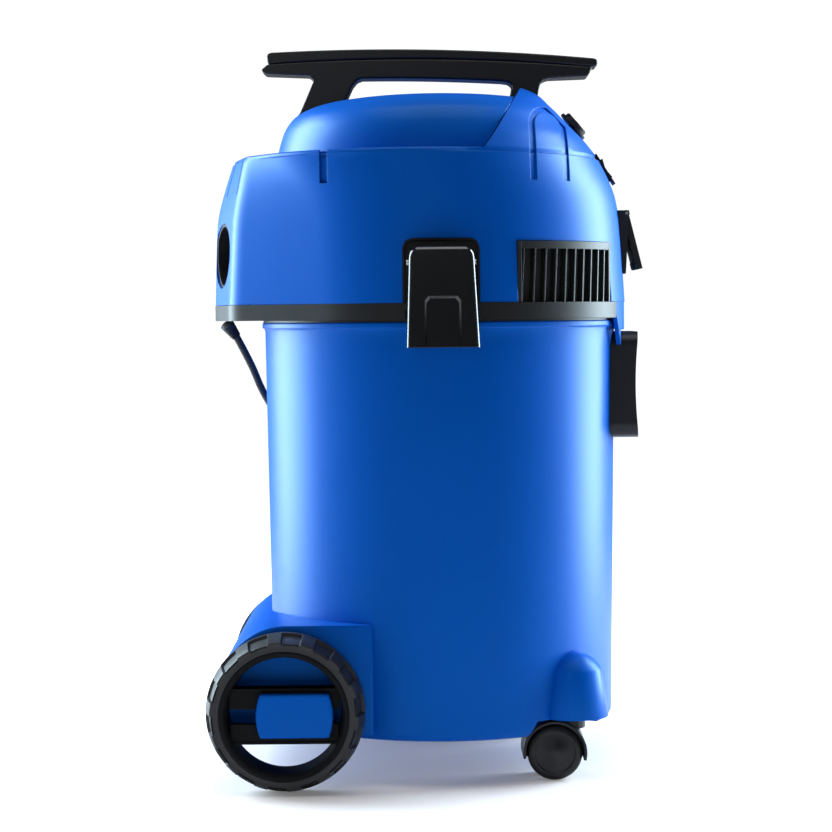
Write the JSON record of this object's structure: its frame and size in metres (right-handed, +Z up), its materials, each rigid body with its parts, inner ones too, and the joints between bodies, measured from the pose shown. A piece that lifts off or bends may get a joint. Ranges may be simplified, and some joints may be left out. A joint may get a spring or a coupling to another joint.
{
  "type": "shop vacuum",
  "caption": "Wet and dry shop vacuum: round plastic tank on rear wheels and castors, lift-off motor head with handle, side latches, tool socket, inlet and blower port.",
  "frame": {"origin": "on the floor under the middle of the machine's box, cord left out", "axes": "+X forward to the suction inlet and castors, +Y to the machine's left, +Z up"},
  "size_m": [0.4024, 0.5175, 0.6636],
  "materials": {
    "blue_plastic": "satin",
    "black_plastic": "satin",
    "grey_plastic": "satin",
    "gloss_black": "gloss",
    "tread": "matt",
    "rubber": "matt",
    "steel": "satin",
    "aluminium": "satin",
    "copper_winding": "satin",
    "filter_paper": "matt",
    "foam": "matt",
    "board": "satin",
    "white_plastic": "satin"
  },
  "bodies": {
    "base": {"tank": "blue_plastic", "tank_floor": "blue_plastic", "axle_housing": "blue_plastic", "castor_bosses": "blue_plastic", "tank_catches": "blue_plastic", "inlet_fitting": "black_plastic", "inlet_deflector": "black_plastic", "rear_axle": "steel", "axle_clips": "steel", "castor_sleeves": "grey_plastic", "cord_tail": "rubber", "cord_coil": "rubber", "cord_tie": "black_plastic", "plug": "black_plastic"},
    "head": {"lower_band": "grey_plastic", "head_gasket": "rubber", "head_shell": "blue_plastic", "head_screws": "steel", "top_dome": "blue_plastic", "handle_lower": "black_plastic", "handle_upper": "black_plastic", "handle_screws": "steel", "latch_pins": "steel", "dial_control": "grey_plastic", "rocker_bezel": "black_plastic", "socket_base": "grey_plastic", "socket_insert": "black_plastic", "flap_pin": "steel", "flap_spring": "steel", "blower_duct": "black_plastic", "motor_ring": "rubber", "motor_case": "steel", "motor_cowl": "grey_plastic", "control_board": "board", "exhaust_foam": "foam", "filter_cartridge": "filter_paper", "filter_plate": "black_plastic", "float_cage": "black_plastic", "cord_grip": "rubber"},
    "rotor": {"motor_rotor": "copper_winding", "fan_wheel": "aluminium"},
    "float": {"float_ball": "white_plastic"},
    "flap": {"socket_flap": "grey_plastic"},
    "dial": {"power_dial": "black_plastic"},
    "rocker": {"rocker_button": "black_plastic"},
    "right_latch": {"latch_right": "gloss_black"},
    "right_wheel": {"wheel_rim_right": "black_plastic", "wheel_tyre_right": "tread", "wheel_badge_right": "blue_plastic"},
    "right_castor": {"castor_hood_right": "black_plastic", "castor_stem_right": "steel", "castor_axle_right": "steel"},
    "right_castor_wheels": {"castor_wheels_right": "black_plastic"},
    "left_latch": {"latch_left": "gloss_black"},
    "left_wheel": {"wheel_rim_left": "black_plastic", "wheel_tyre_left": "tread", "wheel_badge_left": "blue_plastic"},
    "left_castor": {"castor_hood_left": "black_plastic", "castor_stem_left": "steel", "castor_axle_left": "steel"},
    "left_castor_wheels": {"castor_wheels_left": "black_plastic"}
  },
  "joints": [
    {"name": "head_lift", "type": "slide", "parent": "base", "child": "head", "axis": [0, 0, 1], "range_m": [0, 0.04]},
    {"name": "flap_hinge", "type": "hinge", "parent": "head", "child": "flap", "pos_m": [0.18627, 0, 0.5073], "axis": [0, -1, 0], "range_deg": [-9, 76], "stiffness_Nm_per_rad": 0.06, "springref_deg": 2.18},
    {"name": "dial_turn", "type": "hinge", "parent": "head", "child": "dial", "pos_m": [0.13727, 0, 0.5885], "axis": [0.7604, 0, 0.6494], "range_deg": [-135, 135]},
    {"name": "rocker_tip", "type": "hinge", "parent": "head", "child": "rocker", "pos_m": [0.16657, 0, 0.5483], "axis": [0, 1, 0], "range_deg": [-8, 8]},
    {"name": "rotor_spin", "type": "hinge", "parent": "head", "child": "rotor", "pos_m": [0.01227, 0, 0.49], "axis": [0, 0, 1], "continuous": true},
    {"name": "float_rise", "type": "slide", "parent": "head", "child": "float", "axis": [0, 0, 1], "range_m": [0, 0.022]},
    {"name": "right_latch_swing", "type": "hinge", "parent": "head", "child": "right_latch", "pos_m": [0.01227, -0.174, 0.46], "axis": [-1, 0, 0], "range_deg": [0, 70]},
    {"name": "right_wheel_spin", "type": "hinge", "parent": "base", "child": "right_wheel", "pos_m": [-0.12723, -0.169, 0.0697], "axis": [0, 1, 0], "continuous": true},
    {"name": "right_castor_swivel", "type": "hinge", "parent": "base", "child": "right_castor", "pos_m": [0.12427, -0.108, 0.06], "axis": [0, 0, 1], "continuous": true},
    {"name": "right_castor_spin", "type": "hinge", "parent": "right_castor", "child": "right_castor_wheels", "pos_m": [0.11027, -0.108, 0.0246], "axis": [0, 1, 0], "continuous": true},
    {"name": "left_latch_swing", "type": "hinge", "parent": "head", "child": "left_latch", "pos_m": [0.01227, 0.174, 0.46], "axis": [1, 0, 0], "range_deg": [0, 70]},
    {"name": "left_wheel_spin", "type": "hinge", "parent": "base", "child": "left_wheel", "pos_m": [-0.12723, 0.169, 0.0697], "axis": [0, 1, 0], "continuous": true},
    {"name": "left_castor_swivel", "type": "hinge", "parent": "base", "child": "left_castor", "pos_m": [0.12427, 0.108, 0.06], "axis": [0, 0, 1], "continuous": true},
    {"name": "left_castor_spin", "type": "hinge", "parent": "left_castor", "child": "left_castor_wheels", "pos_m": [0.11027, 0.108, 0.0246], "axis": [0, 1, 0], "continuous": true}
  ],
  "couplings": [
    {"joint": "right_latch_swing", "follows": "head_lift", "rad_per_m": 30.543},
    {"joint": "left_latch_swing", "follows": "head_lift", "rad_per_m": 30.543}
  ]
}
